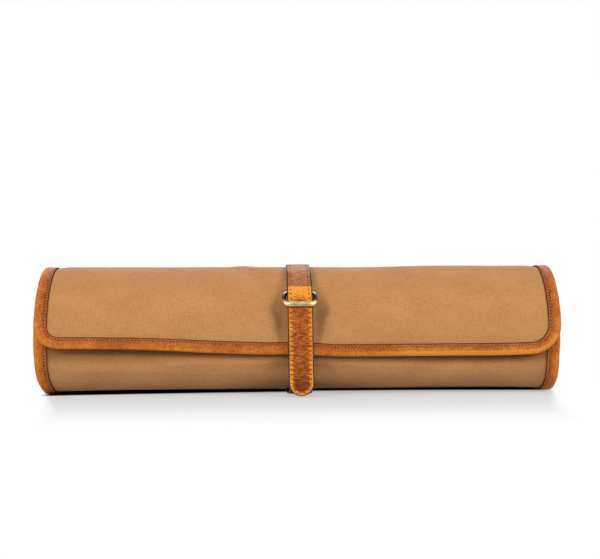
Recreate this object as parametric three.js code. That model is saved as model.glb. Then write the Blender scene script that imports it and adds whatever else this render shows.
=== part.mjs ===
// A rolled canvas knife roll with leather edge binding, a leather closing strap,
// a brass keeper ring and a hidden press snap. Millimetres, +Z up.
// X runs along the roll, the flap's free edge and the tongue face -Y.
// The origin is on the surface that the roll lies on, under the roll's axis.

import * as THREE from "three";

// Driving dimensions of the roll
const ROLL_LENGTH = 460;
const ROLL_RADIUS = 57;
const BASE_FLATTENING = 3;
const OUTER_TURN_PITCH = 7;
const INNER_TURN_PITCH = 18;
const TUCK_START_TURN = 310;
const TURNS = 3;

// Cloth and leather thicknesses, and the gap left between stacked layers
const CANVAS = 1.0;
const LINING = 0.8;
const POCKET_CLOTH = 0.9;
const BINDING_LEATHER = 1.4;
const STRAP_LEATHER = 1.4;
const TAB_LEATHER = 1.0;
const GAP = 0.3;

// Flap and binding
const FLAP_EDGE_ANGLE = -18.5;
const FLAP_HINGE_ANGLE = 100;
const FLAP_EDGE_SKEW = 4;
const FLAP_CORNER_RADIUS = 24;
const BINDING_WIDTH = 11.5;
const HINGE_GAP = 0.8;

// Strap, keeper ring and tab
const STRAP_WIDTH = 22;
const STRAP_LIFT_ANGLE = 82;
const OVERLAY_START_ANGLE = 41.5;
const TONGUE_TIP_HEIGHT = 1.5;
const TONGUE_HINGE_DROP = 6;
const LOWER_STRAP_TOP = 33;
const RING_BAR_RADIUS = 1.8;
const RING_SIDE_CLEARANCE = 0.7;
const RING_BAR_SPACING = 16.4;
const RING_CORNER_RADIUS = 4.5;
const RING_ANGLE = 35;
const RING_CLEARANCE = 0.3;
const TAB_WIDTH = 20;
const TAB_LENGTH_ANGLE = 24;
const TAB_NECK_ANGLE = 6;
const STRAP_WRAP_ANGLE = 22;

// Press snap
const SNAP_HEIGHT = 24;
const SNAP_DIAMETER = 14;
const SNAP_POST_DIAMETER = 5;
const SNAP_POST_ENGAGEMENT = 0.8;
const SNAP_POST_CLEARANCE = 1.0;
const SNAP_STUD_PLATE = 0.8;
const SNAP_SOCKET_THICKNESS = 1.5;

// Inside of the roll
const POCKET_MOUTH_X = 60;
const POCKET_TRIM_WIDTH = 14;
const HANDLE_COVER_X = 20;
const POCKET_START_STEPS = 3;

// Facets
const OUTER_STEP = 10;
const INNER_STEP = 15;
const STRAP_STEP = 4;
const CORNER_STEPS = 6;
const RING_SIDES = 12;
const SNAP_SIDES = 24;

const RADIANS = Math.PI / 180;

// Sizes worked out from the driving dimensions
const BASE = BINDING_LEATHER + GAP;
const AXIS_HEIGHT = ROLL_RADIUS - BASE_FLATTENING + BASE;
const SHEET = CANVAS + GAP + LINING;
const HALF_CLOTH = ROLL_LENGTH / 2 - BINDING_LEATHER - GAP;
const LAST_TURN = TURNS * 360;
const HINGE_TURN = FLAP_HINGE_ANGLE - FLAP_EDGE_ANGLE;
const HALF_HINGE_GAP = (HINGE_GAP / 2 / ROLL_RADIUS) / RADIANS;
const POCKET_DEPTH = SHEET + GAP;
const COVER_DEPTH = POCKET_DEPTH + POCKET_CLOTH + GAP;

// Colours taken from the object: tan canvas, cognac leather, brass
const canvasFinish = { color: 0xb98a5a, roughness: 0.9, metalness: 0 };
const liningFinish = { color: 0x8a6a4a, roughness: 0.95, metalness: 0 };
const bindingFinish = { color: 0xb5682c, roughness: 0.55, metalness: 0 };
const strapFinish = { color: 0x8c5230, roughness: 0.5, metalness: 0 };
const tongueFinish = { color: 0xb86a28, roughness: 0.5, metalness: 0 };
const brassFinish = { color: 0xcdb877, roughness: 0.3, metalness: 1 };

const roll = new THREE.Group();

function addPiece(name, geometry, finish, parent = roll) {
  const mesh = new THREE.Mesh(geometry, new THREE.MeshStandardMaterial(finish));
  mesh.name = name;
  parent.add(mesh);
  return mesh;
}

// How far the sheet has wound inwards after a turn angle counted from the free edge.
// The outside stays round until the sheet tucks in under the flap.
function windingInset(turn) {
  const tuck = THREE.MathUtils.clamp((turn - TUCK_START_TURN) / (360 - TUCK_START_TURN), 0, 1);
  const rest = Math.max(turn - 360, 0) / 360;
  return OUTER_TURN_PITCH * tuck + INNER_TURN_PITCH * rest;
}

// A point on the rolled sheet: x along the roll, the turn angle from the free edge,
// and the height above the canvas's outer face. The underside is flat.
function onRoll(x, turn, height) {
  const inset = windingInset(turn);
  const radius = ROLL_RADIUS - inset + height;
  const angle = (turn + FLAP_EDGE_ANGLE) * RADIANS;
  const z = AXIS_HEIGHT + radius * Math.sin(angle);
  return new THREE.Vector3(x, -radius * Math.cos(angle), Math.max(z, BASE + inset - height));
}

// A point on the flap, a distance up from its free edge. The free edge hangs a little
// lower at one end than at the other, and the skew fades out at the hinge.
function onFlap(x, rise, height) {
  const hingeRise = HINGE_TURN * RADIANS * ROLL_RADIUS;
  const skew = FLAP_EDGE_SKEW * (0.5 - x / ROLL_LENGTH) * (1 - rise / hingeRise);
  return onRoll(x, (rise + skew) / ROLL_RADIUS / RADIANS, height);
}

// A closed solid from rings of points, one ring after another. The end rings are capped
// unless the loop is closed, and the faces are turned outwards. Each span is cut along the
// same diagonal on every layer, so that twisted layers stay clear of each other.
function loftRings(rings, closed = false) {
  const count = rings[0].length;
  const positions = rings.flat().flatMap((point) => point.toArray());
  const indices = [];
  const spans = closed ? rings.length : rings.length - 1;
  for (let i = 0; i < spans; i++) {
    const near = i * count;
    const far = ((i + 1) % rings.length) * count;
    for (let j = 0; j < count; j++) {
      const next = (j + 1) % count;
      if (rings[i][j].x <= rings[i][next].x) {
        indices.push(near + j, near + next, far + next, near + j, far + next, far + j);
      } else {
        indices.push(near + j, near + next, far + j, near + next, far + next, far + j);
      }
    }
  }
  if (!closed) {
    const flat = flattenRing(rings[0]);
    const last = (rings.length - 1) * count;
    for (const [a, b, c] of THREE.ShapeUtils.triangulateShape(flat, [])) {
      indices.push(a, c, b, last + a, last + b, last + c);
    }
  }
  const geometry = new THREE.BufferGeometry();
  geometry.setAttribute("position", new THREE.Float32BufferAttribute(positions, 3));
  geometry.setIndex(indices);
  if (signedVolume(geometry) < 0) {
    geometry.setIndex(indices.map((_, i) => indices[i - (i % 3) + [0, 2, 1][i % 3]]));
  }
  return geometry;
}

// The end ring's outline in its own plane, wound as its points come
function flattenRing(ring) {
  const normal = new THREE.Vector3();
  ring.forEach((point, i) => normal.add(point.clone().cross(ring[(i + 1) % ring.length])));
  normal.normalize();
  const across = ring[1].clone().sub(ring[0]).normalize();
  const up = normal.clone().cross(across);
  return ring.map((point) => new THREE.Vector2(point.dot(across), point.dot(up)));
}

function signedVolume(geometry) {
  const position = geometry.getAttribute("position");
  const corner = [new THREE.Vector3(), new THREE.Vector3(), new THREE.Vector3()];
  let volume = 0;
  for (let i = 0; i < geometry.index.count; i += 3) {
    corner.forEach((v, k) => v.fromBufferAttribute(position, geometry.index.getX(i + k)));
    volume += corner[0].dot(corner[1].clone().cross(corner[2])) / 6;
  }
  return volume;
}

// Turn angles from one to another. All the layers share one grid of facets, which is
// coarser on the inner turns.
function turnSteps(from, to) {
  const grid = [];
  for (let turn = 0; turn < 360; turn += OUTER_STEP) grid.push(turn);
  for (let turn = 360; turn < LAST_TURN; turn += INNER_STEP) grid.push(turn);
  return [from, ...grid.filter((turn) => turn > from + 1 && turn < to - 1), to];
}

// A sheet rolled between two turn angles, from x = left to x = right,
// lying between two depths under the canvas's outer face
function rolledSheet(left, right, from, to, topDepth, bottomDepth) {
  return loftRings(
    turnSteps(from, to).map((turn) => [
      onRoll(left, turn, -topDepth),
      onRoll(right, turn, -topDepth),
      onRoll(right, turn, -bottomDepth),
      onRoll(left, turn, -bottomDepth),
    ]),
  );
}

// The folded binding's section: distance in from the cloth's edge, height above the canvas
const bindingSection = [
  [BINDING_WIDTH - BINDING_LEATHER - GAP, GAP],
  [BINDING_WIDTH - BINDING_LEATHER - GAP, GAP + BINDING_LEATHER],
  [-GAP - BINDING_LEATHER, GAP + BINDING_LEATHER],
  [-GAP - BINDING_LEATHER, -SHEET - GAP - BINDING_LEATHER],
  [BINDING_WIDTH - BINDING_LEATHER - GAP, -SHEET - GAP - BINDING_LEATHER],
  [BINDING_WIDTH - BINDING_LEATHER - GAP, -SHEET - GAP],
  [-GAP, -SHEET - GAP],
  [-GAP, GAP],
];

// Half the cloth's width on the flap, narrowing round its two free corners
function flapHalfWidth(rise) {
  const left = FLAP_CORNER_RADIUS - rise;
  if (left <= 0) return HALF_CLOTH;
  return HALF_CLOTH - FLAP_CORNER_RADIUS + Math.sqrt(FLAP_CORNER_RADIUS ** 2 - left ** 2);
}

function flapRises() {
  const rises = [];
  for (let i = 0; i < CORNER_STEPS; i++) {
    rises.push(FLAP_CORNER_RADIUS * (1 - Math.cos((i / CORNER_STEPS) * 90 * RADIANS)));
  }
  const top = (HINGE_TURN - HALF_HINGE_GAP) * RADIANS * ROLL_RADIUS;
  const spans = Math.ceil((top - FLAP_CORNER_RADIUS) / (OUTER_STEP * RADIANS * ROLL_RADIUS));
  for (let i = 0; i <= spans; i++) {
    rises.push(FLAP_CORNER_RADIUS + ((top - FLAP_CORNER_RADIUS) * i) / spans);
  }
  return rises;
}

function flapSheet(topDepth, bottomDepth) {
  return loftRings(
    flapRises().map((rise) => {
      const half = flapHalfWidth(rise);
      return [
        onFlap(-half, rise, -topDepth),
        onFlap(half, rise, -topDepth),
        onFlap(half, rise, -bottomDepth),
        onFlap(-half, rise, -bottomDepth),
      ];
    }),
  );
}

// The flap's outline from the hinge down one side, along the free edge and up the other,
// as points on the cloth's edge with the direction that points into the cloth
function flapOutline() {
  const side = flapRises().map((rise) => {
    const lift = Math.max(FLAP_CORNER_RADIUS - rise, 0) / FLAP_CORNER_RADIUS;
    return { x: flapHalfWidth(rise), rise, inX: -Math.sqrt(1 - lift ** 2), inRise: lift };
  });
  const mirrored = side.map((p) => ({ ...p, x: -p.x, inX: -p.inX })).reverse();
  return [...mirrored, ...side];
}

function flapBinding() {
  return loftRings(
    flapOutline().map((p) =>
      bindingSection.map(([inward, height]) =>
        onFlap(p.x + p.inX * inward, p.rise + p.inRise * inward, height),
      ),
    ),
  );
}

// Binding along one end of the rolled panel, side = 1 at +X and -1 at -X
function endBinding(side) {
  return loftRings(
    turnSteps(HINGE_TURN + HALF_HINGE_GAP, LAST_TURN).map((turn) =>
      bindingSection.map(([inward, height]) =>
        onRoll(side * (HALF_CLOTH - inward), turn, height),
      ),
    ),
  );
}

// Binding over the sheet's innermost edge, between the two end bindings. Its section
// is bent to the tight inner turn, so its long sides are cut into short spans.
function innerHem() {
  const half = HALF_CLOTH - BINDING_WIDTH - GAP;
  const radius = ROLL_RADIUS - windingInset(LAST_TURN);
  const section = bindingSection.flatMap(([inward, height], i) => {
    const [nextInward, nextHeight] = bindingSection[(i + 1) % bindingSection.length];
    return Array.from({ length: CORNER_STEPS }, (_, k) => {
      const share = k / CORNER_STEPS;
      return [inward + (nextInward - inward) * share, height + (nextHeight - height) * share];
    });
  });
  return loftRings(
    [-half, half].map((x) =>
      section.map(([inward, height]) =>
        onRoll(x, LAST_TURN - inward / radius / RADIANS, height),
      ),
    ),
  );
}

// A line across the roll's section, as points with the outward normal at each
function sectionLine(curve, from, to, step) {
  const length = curve.getLength();
  const start = from * length;
  const end = to * length;
  const spans = Math.ceil((end - start) / step);
  const line = [];
  for (let i = 0; i <= spans; i++) {
    const u = (start + ((end - start) * i) / spans) / length;
    const point = curve.getPointAt(u);
    const along = curve.getTangentAt(u);
    line.push({ point, normal: new THREE.Vector3(0, along.z, -along.y), run: u * length });
  }
  return line;
}

// A strap laid along a section line, between two heights over it
function strapPly(line, low, high, halfWidthAt) {
  return loftRings(
    line.map(({ point, normal, run }) => {
      const half = halfWidthAt(run);
      const inner = point.clone().addScaledVector(normal, low);
      const outer = point.clone().addScaledVector(normal, high);
      return [
        inner.clone().setX(-half),
        inner.clone().setX(half),
        outer.clone().setX(half),
        outer.clone().setX(-half),
      ];
    }),
  );
}

const canvasTop = HINGE_TURN + HALF_HINGE_GAP;
addPiece("canvas_flap", flapSheet(0, CANVAS), canvasFinish);
addPiece("lining_flap", flapSheet(CANVAS + GAP, SHEET), liningFinish);
addPiece("binding_flap", flapBinding(), bindingFinish);

const panelEnd = LAST_TURN;
addPiece(
  "canvas_body",
  rolledSheet(-HALF_CLOTH, HALF_CLOTH, canvasTop, panelEnd, 0, CANVAS),
  canvasFinish,
);
addPiece(
  "lining_body",
  rolledSheet(-HALF_CLOTH, HALF_CLOTH, canvasTop, panelEnd, CANVAS + GAP, SHEET),
  liningFinish,
);
addPiece("binding_left", endBinding(-1), bindingFinish);
addPiece("binding_right", endBinding(1), bindingFinish);
addPiece("binding_inner_hem", innerHem(), bindingFinish);

// Knife pocket, its leather-trimmed mouth, and the cover that folds over the handles
const insideEdge = HALF_CLOTH - BINDING_WIDTH;
const hemAngle = BINDING_WIDTH / (ROLL_RADIUS - windingInset(LAST_TURN)) / RADIANS;
const pocketStart = 360 + INNER_STEP * POCKET_START_STEPS;
const pocketEnd = 360 + INNER_STEP * Math.floor((LAST_TURN - hemAngle - 360) / INNER_STEP);
addPiece(
  "pocket_panel",
  rolledSheet(
    -insideEdge,
    POCKET_MOUTH_X,
    pocketStart,
    pocketEnd,
    POCKET_DEPTH,
    POCKET_DEPTH + POCKET_CLOTH,
  ),
  canvasFinish,
);
addPiece(
  "pocket_mouth_trim",
  rolledSheet(
    POCKET_MOUTH_X + GAP,
    POCKET_MOUTH_X + GAP + POCKET_TRIM_WIDTH,
    pocketStart,
    pocketEnd,
    POCKET_DEPTH,
    POCKET_DEPTH + POCKET_CLOTH,
  ),
  bindingFinish,
);
addPiece(
  "handle_cover",
  rolledSheet(
    HANDLE_COVER_X,
    insideEdge,
    pocketStart,
    pocketEnd,
    COVER_DEPTH,
    COVER_DEPTH + POCKET_CLOTH,
  ),
  liningFinish,
);

// The keeper ring's back bar lies in a folded leather tab on the flap, under the strap
const loopRadius = RING_BAR_RADIUS + RING_CLEARANCE;
const barHeight = GAP + TAB_LEATHER + loopRadius;
const backBar = onRoll(0, RING_ANGLE - FLAP_EDGE_ANGLE, barHeight);
const strapWrapRadius = loopRadius + TAB_LEATHER + GAP * 2;

// The closing strap's inner face: round the back and over the top on the roll,
// over the keeper ring's back bar, then straight down in front of the flap
const frontReach = ROLL_RADIUS + GAP + BINDING_LEATHER + GAP;
function overBar(past) {
  const angle = (180 - RING_ANGLE + past) * RADIANS;
  const out = new THREE.Vector3(0, Math.cos(angle), Math.sin(angle));
  return backBar.clone().addScaledVector(out, strapWrapRadius);
}
const strapFront = new THREE.CatmullRomCurve3(
  [
    onRoll(0, HINGE_TURN - HALF_HINGE_GAP, GAP),
    onRoll(0, (HINGE_TURN + STRAP_LIFT_ANGLE - FLAP_EDGE_ANGLE) / 2, GAP),
    onRoll(0, STRAP_LIFT_ANGLE - FLAP_EDGE_ANGLE, GAP * 2),
    onRoll(0, RING_ANGLE + TAB_LENGTH_ANGLE - FLAP_EDGE_ANGLE, barHeight + TAB_LEATHER),
    overBar(-STRAP_WRAP_ANGLE),
    overBar(STRAP_WRAP_ANGLE),
    new THREE.Vector3(0, -frontReach, AXIS_HEIGHT + STRAP_WIDTH),
    new THREE.Vector3(0, -frontReach, AXIS_HEIGHT),
    new THREE.Vector3(0, -frontReach, AXIS_HEIGHT / 2),
    new THREE.Vector3(0, -frontReach, TONGUE_TIP_HEIGHT),
  ],
  false,
  "centripetal",
);

// The back bar's neighbour in front of the strap fixes how far the ring leans out
const ringReach = STRAP_LEATHER * 2 + GAP * 2 + RING_BAR_RADIUS;
const strapLength = strapFront.getLength();
const hinge = tongueHinge();

// Where the front bar crosses the strap: the point of the strap's line whose ring-bar
// seat lies one bar spacing from the back bar
function tongueHinge() {
  const samples = 400;
  for (let i = 0; i <= samples; i++) {
    const point = strapFront.getPointAt(i / samples);
    const along = strapFront.getTangentAt(i / samples);
    const normal = new THREE.Vector3(0, along.z, -along.y);
    const seat = point.clone().addScaledVector(normal, ringReach);
    if (seat.z < backBar.z && seat.distanceTo(backBar) > RING_BAR_SPACING) {
      return { bar: seat, share: i / samples + TONGUE_HINGE_DROP / strapLength };
    }
  }
  throw new Error("the ring is too long for the strap");
}

const overlayShare = overlayStart();
function overlayStart() {
  const samples = 400;
  const angleOf = (p) => Math.atan2(p.z - AXIS_HEIGHT, -p.y) / RADIANS;
  for (let i = 0; i <= samples; i++) {
    if (angleOf(strapFront.getPointAt(i / samples)) < OVERLAY_START_ANGLE) return i / samples;
  }
  throw new Error("the overlay starts past the strap's end");
}

const halfStrap = STRAP_WIDTH / 2;
const straight = () => halfStrap;
function roundedTip(run) {
  const past = run - (strapLength - halfStrap);
  return past <= 0 ? halfStrap : Math.sqrt(Math.max(halfStrap ** 2 - past ** 2, 1));
}

const hingeGapShare = HINGE_GAP / 2 / strapLength;
const upperLine = sectionLine(strapFront, 0, hinge.share - hingeGapShare, STRAP_STEP);
const overlayLine = sectionLine(strapFront, overlayShare, hinge.share - hingeGapShare, STRAP_STEP);
const tipShare = 1 - halfStrap / strapLength;
const tongueLine = [
  ...sectionLine(strapFront, hinge.share + hingeGapShare, tipShare, STRAP_STEP),
  ...sectionLine(strapFront, tipShare, 1, halfStrap / CORNER_STEPS).slice(1),
];
const overlayLow = STRAP_LEATHER + GAP;
const overlayHigh = overlayLow + STRAP_LEATHER;
addPiece("strap_front", strapPly(upperLine, 0, STRAP_LEATHER, straight), strapFinish);
addPiece("strap_overlay", strapPly(overlayLine, overlayLow, overlayHigh, straight), tongueFinish);
addPiece("tongue_back", strapPly(tongueLine, 0, STRAP_LEATHER, roundedTip), strapFinish);
addPiece("tongue_face", strapPly(tongueLine, overlayLow, overlayHigh, roundedTip), tongueFinish);

// The strap's other half: down the back, under the roll and up to the snap in front
const lowerReach =
  frontReach - SNAP_SOCKET_THICKNESS - SNAP_STUD_PLATE - GAP * 3 - STRAP_LEATHER;
const flatHalfWidth = Math.sqrt(ROLL_RADIUS ** 2 - (ROLL_RADIUS - BASE_FLATTENING) ** 2);
const strapUnderside = [HINGE_TURN + HALF_HINGE_GAP, 270 - FLAP_EDGE_ANGLE];
const bendTop = SNAP_HEIGHT - SNAP_DIAMETER / 2 - STRAP_LEATHER;
const lowerBend = Array.from({ length: CORNER_STEPS + 1 }, (_, i) => {
  const angle = (i / CORNER_STEPS) * 90 * RADIANS;
  const out = flatHalfWidth + (lowerReach - flatHalfWidth) * Math.sin(angle);
  return new THREE.Vector3(0, -out, bendTop - (bendTop - STRAP_LEATHER) * Math.cos(angle));
});
const strapLower = new THREE.CatmullRomCurve3(
  [
    new THREE.Vector3(0, -flatHalfWidth / 2, STRAP_LEATHER),
    ...lowerBend,
    new THREE.Vector3(0, -lowerReach, SNAP_HEIGHT),
    new THREE.Vector3(0, -lowerReach, LOWER_STRAP_TOP),
  ],
  false,
  "centripetal",
);
const backLine = [
  ...turnSteps(...strapUnderside).map((turn) => {
    const point = onRoll(0, turn, GAP);
    return { point, normal: onRoll(0, turn, GAP + 1).sub(point), run: 0 };
  }),
  ...sectionLine(strapLower, 0, 1, STRAP_STEP / 2).map((p) => ({
    ...p,
    normal: p.normal.negate(),
  })),
];
addPiece("strap_back", strapPly(backLine, 0, STRAP_LEATHER, straight), strapFinish);

// The tab is one strip folded round the back bar, its two ends lying on the flap
function tabLine() {
  const line = [];
  const upTo = RING_ANGLE + TAB_LENGTH_ANGLE;
  const flat = (angle, height, side) => {
    const low = onRoll(0, angle - FLAP_EDGE_ANGLE, height);
    const out = onRoll(0, angle - FLAP_EDGE_ANGLE, height + 1).sub(low);
    line.push({ point: low, normal: out.multiplyScalar(side), run: 0 });
  };
  const clear = TAB_NECK_ANGLE;
  for (let angle = upTo; angle >= RING_ANGLE + clear; angle -= clear) {
    flat(angle, GAP + TAB_LEATHER, -1);
  }
  for (let i = 0; i <= RING_SIDES; i++) {
    const turn = -RING_ANGLE * RADIANS - (i / RING_SIDES) * Math.PI;
    const normal = new THREE.Vector3(0, Math.cos(turn), Math.sin(turn));
    line.push({ point: backBar.clone().addScaledVector(normal, loopRadius), normal, run: 0 });
  }
  for (let angle = RING_ANGLE + clear; angle <= upTo; angle += clear) {
    const fall = (angle - RING_ANGLE) / TAB_LENGTH_ANGLE;
    const closed = GAP * 2 + TAB_LEATHER;
    flat(angle, closed + (barHeight + loopRadius - closed) * (1 - fall), 1);
  }
  return line;
}
addPiece("ring_tab", strapPly(tabLine(), 0, TAB_LEATHER, () => TAB_WIDTH / 2), strapFinish);

// The keeper ring: a round bar bent into a rounded rectangle, hung on its back bar
function ringGeometry(width, spacing) {
  const corners = [
    [width / 2, spacing, 0],
    [-width / 2, spacing, 90],
    [-width / 2, 0, 180],
    [width / 2, 0, 270],
  ];
  const rings = [];
  for (const [x, y, start] of corners) {
    const centreX = x - Math.sign(x) * RING_CORNER_RADIUS;
    const centreY = y === 0 ? RING_CORNER_RADIUS : y - RING_CORNER_RADIUS;
    for (let i = 0; i <= CORNER_STEPS; i++) {
      const angle = (start + (i / CORNER_STEPS) * 90) * RADIANS;
      const out = new THREE.Vector3(Math.cos(angle), Math.sin(angle), 0);
      const centre = new THREE.Vector3(centreX, centreY, 0).addScaledVector(out, RING_CORNER_RADIUS);
      rings.push(barSection(centre, out));
    }
  }
  return loftRings(rings, true);
}

function barSection(centre, out) {
  const section = [];
  for (let i = 0; i < RING_SIDES; i++) {
    const angle = (i / RING_SIDES) * 2 * Math.PI;
    const point = centre.clone().addScaledVector(out, RING_BAR_RADIUS * Math.cos(angle));
    section.push(point.setZ(RING_BAR_RADIUS * Math.sin(angle)));
  }
  return section;
}

const ringWidth = STRAP_WIDTH + 2 * RING_SIDE_CLEARANCE + 2 * RING_BAR_RADIUS;
const ringHolder = new THREE.Group();
const ringLean = hinge.bar.clone().sub(backBar);
ringHolder.position.copy(backBar);
ringHolder.rotation.x = Math.atan2(ringLean.z, ringLean.y);
roll.add(ringHolder);
addPiece("keeper_ring", ringGeometry(ringWidth, ringLean.length()), brassFinish, ringHolder);

// Press snap: a post on the strap's lower half enters a socket on the back of the tongue
function lathe(profile) {
  const points = profile.map(([radius, height]) => new THREE.Vector2(radius, height));
  return new THREE.LatheGeometry(points, SNAP_SIDES);
}

const snapRadius = SNAP_DIAMETER / 2;
const postRadius = SNAP_POST_DIAMETER / 2;
const postTop = SNAP_STUD_PLATE + GAP + SNAP_POST_ENGAGEMENT;
const stud = addPiece(
  "snap_stud",
  lathe([
    [0, 0],
    [snapRadius, 0],
    [snapRadius, SNAP_STUD_PLATE],
    [postRadius, SNAP_STUD_PLATE],
    [postRadius, postTop],
    [0, postTop],
  ]),
  brassFinish,
);
stud.rotation.x = Math.PI;
stud.position.set(0, -lowerReach - STRAP_LEATHER - GAP, SNAP_HEIGHT);

const holeRadius = postRadius + SNAP_POST_CLEARANCE;
const socket = addPiece(
  "snap_socket",
  lathe([
    [holeRadius, 0],
    [snapRadius, 0],
    [snapRadius, SNAP_SOCKET_THICKNESS],
    [holeRadius, SNAP_SOCKET_THICKNESS],
    [holeRadius, 0],
  ]),
  brassFinish,
);
socket.position.set(0, -frontReach + GAP, SNAP_HEIGHT);

export default roll;
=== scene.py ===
from math import ceil, cos, degrees, dist, exp, hypot, log1p, pi, radians, sin, sqrt
import bpy
import numpy as np
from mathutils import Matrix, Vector


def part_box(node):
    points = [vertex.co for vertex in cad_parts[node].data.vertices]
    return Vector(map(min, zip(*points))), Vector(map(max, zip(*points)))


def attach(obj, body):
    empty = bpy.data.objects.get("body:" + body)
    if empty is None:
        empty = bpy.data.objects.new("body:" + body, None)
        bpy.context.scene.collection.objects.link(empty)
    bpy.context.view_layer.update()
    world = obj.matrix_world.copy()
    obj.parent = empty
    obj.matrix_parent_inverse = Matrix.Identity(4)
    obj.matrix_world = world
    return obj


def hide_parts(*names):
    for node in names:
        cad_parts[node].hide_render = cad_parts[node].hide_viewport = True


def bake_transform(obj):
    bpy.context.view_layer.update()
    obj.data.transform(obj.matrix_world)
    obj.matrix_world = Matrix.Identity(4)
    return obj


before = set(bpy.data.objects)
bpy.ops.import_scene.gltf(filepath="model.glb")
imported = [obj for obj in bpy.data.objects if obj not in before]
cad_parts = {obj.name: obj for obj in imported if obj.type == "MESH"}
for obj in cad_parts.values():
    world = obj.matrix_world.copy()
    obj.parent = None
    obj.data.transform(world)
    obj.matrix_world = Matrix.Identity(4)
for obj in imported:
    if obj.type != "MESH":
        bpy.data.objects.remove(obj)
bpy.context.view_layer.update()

# Sizes in millimetres and angles in degrees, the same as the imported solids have
LENGTH = 460.0
HALF = LENGTH / 2
RADIUS = 57.0
OUTER_PITCH = 7.0
INNER_PITCH = 18.0
TUCK_TURN = 310.0
LAST_TURN = 1080.0
EDGE_ANGLE = -18.5
HINGE_ANGLE = 100.0
AXIS_Z = 55.7
BASE_Z = 1.7
CANVAS = 1.0
LINING_TOP = 1.3
SHEET = 2.1
FOLD = 1.7
CORNER = 24.0
STRAP_HALF = 11.0
PLY = 1.4
HALF_CLOTH = HALF - FOLD
ARC = radians(1) * RADIUS
HINGE_RISE = (HINGE_ANGLE - EDGE_ANGLE) * ARC
UNDER_TURN = 270 - EDGE_ANGLE
SPLIT_RISE = UNDER_TURN * ARC
RING_AT = (0.0, -49.477, 90.344)
TO_METRES = 0.001

# Soft shapes of the cloth, in millimetres
BOW = 2.4
SAG = 2.3
SKEW = 1.5
RIGHT_LIFT = 1.3
PUFF = 1.8
LEFT_CORNER = 18.5


# Shape of the roll
def bump(t, centre, width):
    return exp(-(((t - centre) / width) ** 2))


def unit(t):
    return min(max(t, 0.0), 1.0)


def eased(t):
    """0 to 1 with a soft start and a soft end."""
    t = unit(t)
    return t * t * (3 - 2 * t)


def always(value):
    return lambda *places: value


def lookup(t, knots, values):
    return float(np.interp(t, knots, values))


# The flap's free edge: how far it rises, along the roll, and the weights that smooth it
EDGE_X = [-235, -210, -178, -152, -121, -104, -87, -52, -34, -11, 26, 39, 70, 122, 157, 187, 196, 206, 235]
EDGE_RISE = [7.5, 7.4, 6.8, 6.6, 5.8, 4.9, 3.7, 2.25, 1.55, 0.9, -0.7, -1.05, -0.7, -0.8, -0.9, -0.7, -0.3,
             0.9, 1.5]
SMOOTHING = [(7 * k, exp(-(k / 2.2) ** 2)) for k in range(-4, 5)]


def edge_rise(x):
    """How far the cloth's free edge lies above the lowest line of the flap, smoothed along the roll."""
    total = sum(w * lookup(x + step, EDGE_X, EDGE_RISE) for step, w in SMOOTHING)
    return total / sum(w for _, w in SMOOTHING)


# Drag folds from the ring: start and end as (x, angle), depth, half width
FOLDS = [((-10, 42), (-68, 84), 2.6, 6.0), ((8, 38), (75, 63), 2.6, 6.5), ((-15, 28), (-66, 20), 1.2, 7.0)]
FOLD_RIDGE = 9


def drag(x, phi):
    d = 0.0
    for (x0, p0), (x1, p1), depth, width in FOLDS:
        ex, ep = x1 - x0, p1 - p0
        size = hypot(ex, ep)
        along = ((x - x0) * ex + (phi - p0) * ep) / size ** 2
        off = ((x - x0) * ep - (phi - p0) * ex) / size
        reach = max(0.0, 1 - abs(2 * along - 1) ** 2.5) if 0 < along < 1 else 0.0
        rise = bump(off, FOLD_RIDGE if ex < 0 else -FOLD_RIDGE, width)
        d += reach * depth * (0.7 * rise - bump(off, 0, width))
    return d


TOP = 88
TOP_SLACK = 1.3
RIGHT_SLACK = 1.0
HOLLOW = 9.4
END_X = 208
END_DROP = (1.9, 1.5)
# Soft forms: lift, then centre and half width across the roll, then centre and half width round it
LEFT_SLACK = (0.7, -78, 36, TOP, 40)
BEHIND_STRAP = (-4.6, 0, 12, 13, 23)
BELOW_EDGE = (-4.6, 12, 24, -38, 12)
# Soft waves: height, length along the roll and phase, then waves per radian round it, slant and phase
WAVES = [(0.55, 37, 0.7, 2.1, 1 / 90, 0.0), (0.35, 19, 2.0, 3.7, 0.0, 1.1)]


def form(x, phi, row):
    lift, x0, wide, phi0, tall = row
    return lift * bump(x, x0, wide) * bump(phi, phi0, tall)


def swell(x, phi):
    """Radial lift of the outer turn: slack cloth, the hollow beside the strap, soft waves."""
    away = abs(x)
    d = TOP_SLACK * bump(phi, TOP, 34) + RIGHT_SLACK * bump(phi, TOP, 40) * max(0.0, x / HALF)
    d += form(x, phi, LEFT_SLACK) + form(away, phi, BEHIND_STRAP) + form(away, phi, BELOW_EDGE)
    d -= HOLLOW * bump(away, 14.0 + 3.0 * bump(phi, 32, 10), 9.6) * bump(phi, 12, 20)
    d += drag(x, phi)
    d -= END_DROP[x >= 0] * eased((away - END_X) / 16) * bump(phi, TOP, 46)
    waves = 0.5 * bump(phi, -12, 12) * sin(x / 52 + 1.9)
    for high, length, phase, turns, slant, shift in WAVES:
        waves += high * sin(x / length + phase) * sin(radians(phi) * turns + x * slant + shift)
    calm = 1 - bump(away, 0, 20)
    return d + calm * waves


def inset(turn):
    t = unit((turn - TUCK_TURN) / (360 - TUCK_TURN))
    return OUTER_PITCH * t + INNER_PITCH * max(turn - 360, 0.0) / 360


# How far the dark gap below the flap's edge stands open, along the roll
SLOT_X = [-230, -150, -60, 60, 120, 230]
SLOT_WIDE = [9.6, 8.6, 4.6, 4.6, 7.6, 8.8]
SLOT_ABOVE = 25
SLOT_BELOW = 45
SLOT_END = 215


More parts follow.
